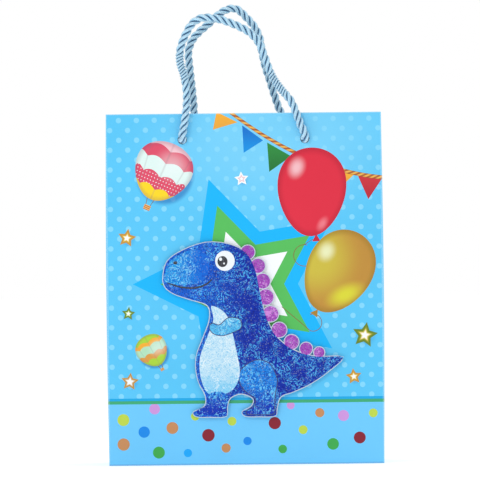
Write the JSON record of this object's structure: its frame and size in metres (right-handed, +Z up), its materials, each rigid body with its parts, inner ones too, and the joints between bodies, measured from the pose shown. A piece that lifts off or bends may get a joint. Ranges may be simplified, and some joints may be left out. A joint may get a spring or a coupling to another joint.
{
  "type": "gift bag",
  "caption": "Paper gift bag with side gussets that fold in, a folding base, turned-in rim, two twisted cord handles and a raised card dinosaur.",
  "frame": {"origin": "on the floor, in the middle of the standing bag's footprint with the raised figure included", "axes": "+Z up, +X to the right seen from the front, front panel towards -Y"},
  "size_m": [0.18, 0.1014, 0.3041],
  "materials": {
    "printed_paper": "satin laminated print",
    "paper_inside": "uncoated matt",
    "grey_board": "uncoated grey board",
    "twisted_cord": "shiny three-strand twist",
    "figure_card": "glitter varnish on print",
    "foam": "soft closed-cell foam"
  },
  "bodies": {
    "front": {"front_panel": "printed_paper", "front_hem": "paper_inside", "front_rim_board": "grey_board", "front_left_knot": "twisted_cord", "front_right_knot": "twisted_cord", "figure_card": "figure_card", "figure_foam_pads": "foam", "left_corner_fold": "printed_paper", "right_corner_fold": "printed_paper"},
    "left_front": {"left_gusset_front": "printed_paper"},
    "left_back": {"left_gusset_back": "printed_paper", "side_seam": "paper_inside"},
    "back": {"back_panel": "printed_paper", "back_hem": "paper_inside", "back_rim_board": "grey_board", "back_left_knot": "twisted_cord", "back_right_knot": "twisted_cord"},
    "right_front": {"right_gusset_front": "printed_paper"},
    "right_back": {"right_gusset_back": "printed_paper"},
    "base": {"base_front_flap": "printed_paper", "base_back_flap": "printed_paper", "base_side_flaps": "paper_inside", "base_board": "grey_board"},
    "front_handle": {"front_cord": "twisted_cord"},
    "back_handle": {"back_cord": "twisted_cord"}
  },
  "joints": [
    {"name": "fold_flat", "type": "hinge", "parent": "front", "child": "left_front", "pos_m": [-0.08965, -0.04335, 0], "axis": [0, 0, -1], "range_deg": [0, 76], "deforming": ["left_corner_fold", "right_corner_fold"]},
    {"name": "left_middle_crease", "type": "hinge", "parent": "left_front", "child": "left_back", "pos_m": [-0.09, 0.0013, 0], "axis": [0, 0, -1], "range_deg": [-152, 0]},
    {"name": "left_back_crease", "type": "hinge", "parent": "left_back", "child": "back", "pos_m": [-0.08965, 0.04595, 0], "axis": [0, 0, -1], "range_deg": [0, 76]},
    {"name": "right_front_crease", "type": "hinge", "parent": "front", "child": "right_front", "pos_m": [0.08965, -0.04335, 0], "axis": [0, 0, 1], "range_deg": [0, 76]},
    {"name": "right_middle_crease", "type": "hinge", "parent": "right_front", "child": "right_back", "pos_m": [0.09, 0.0013, 0], "axis": [0, 0, 1], "range_deg": [-152, 0]},
    {"name": "base_crease", "type": "hinge", "parent": "front", "child": "base", "pos_m": [0, -0.04335, 0.0007], "axis": [1, 0, 0], "range_deg": [0, 76]},
    {"name": "front_handle_swing", "type": "hinge", "parent": "front", "child": "front_handle", "pos_m": [0, -0.04675, 0.213], "axis": [1, 0, 0], "range_deg": [0, 165]},
    {"name": "back_handle_swing", "type": "hinge", "parent": "back", "child": "back_handle", "pos_m": [0, 0.04935, 0.213], "axis": [-1, 0, 0], "range_deg": [0, 165]}
  ],
  "couplings": [
    {"joint": "left_middle_crease", "follows": "fold_flat", "ratio": -2},
    {"joint": "left_back_crease", "follows": "fold_flat", "ratio": 1},
    {"joint": "right_front_crease", "follows": "fold_flat", "ratio": 1},
    {"joint": "right_middle_crease", "follows": "fold_flat", "ratio": -2},
    {"joint": "base_crease", "follows": "fold_flat", "ratio": 1}
  ]
}
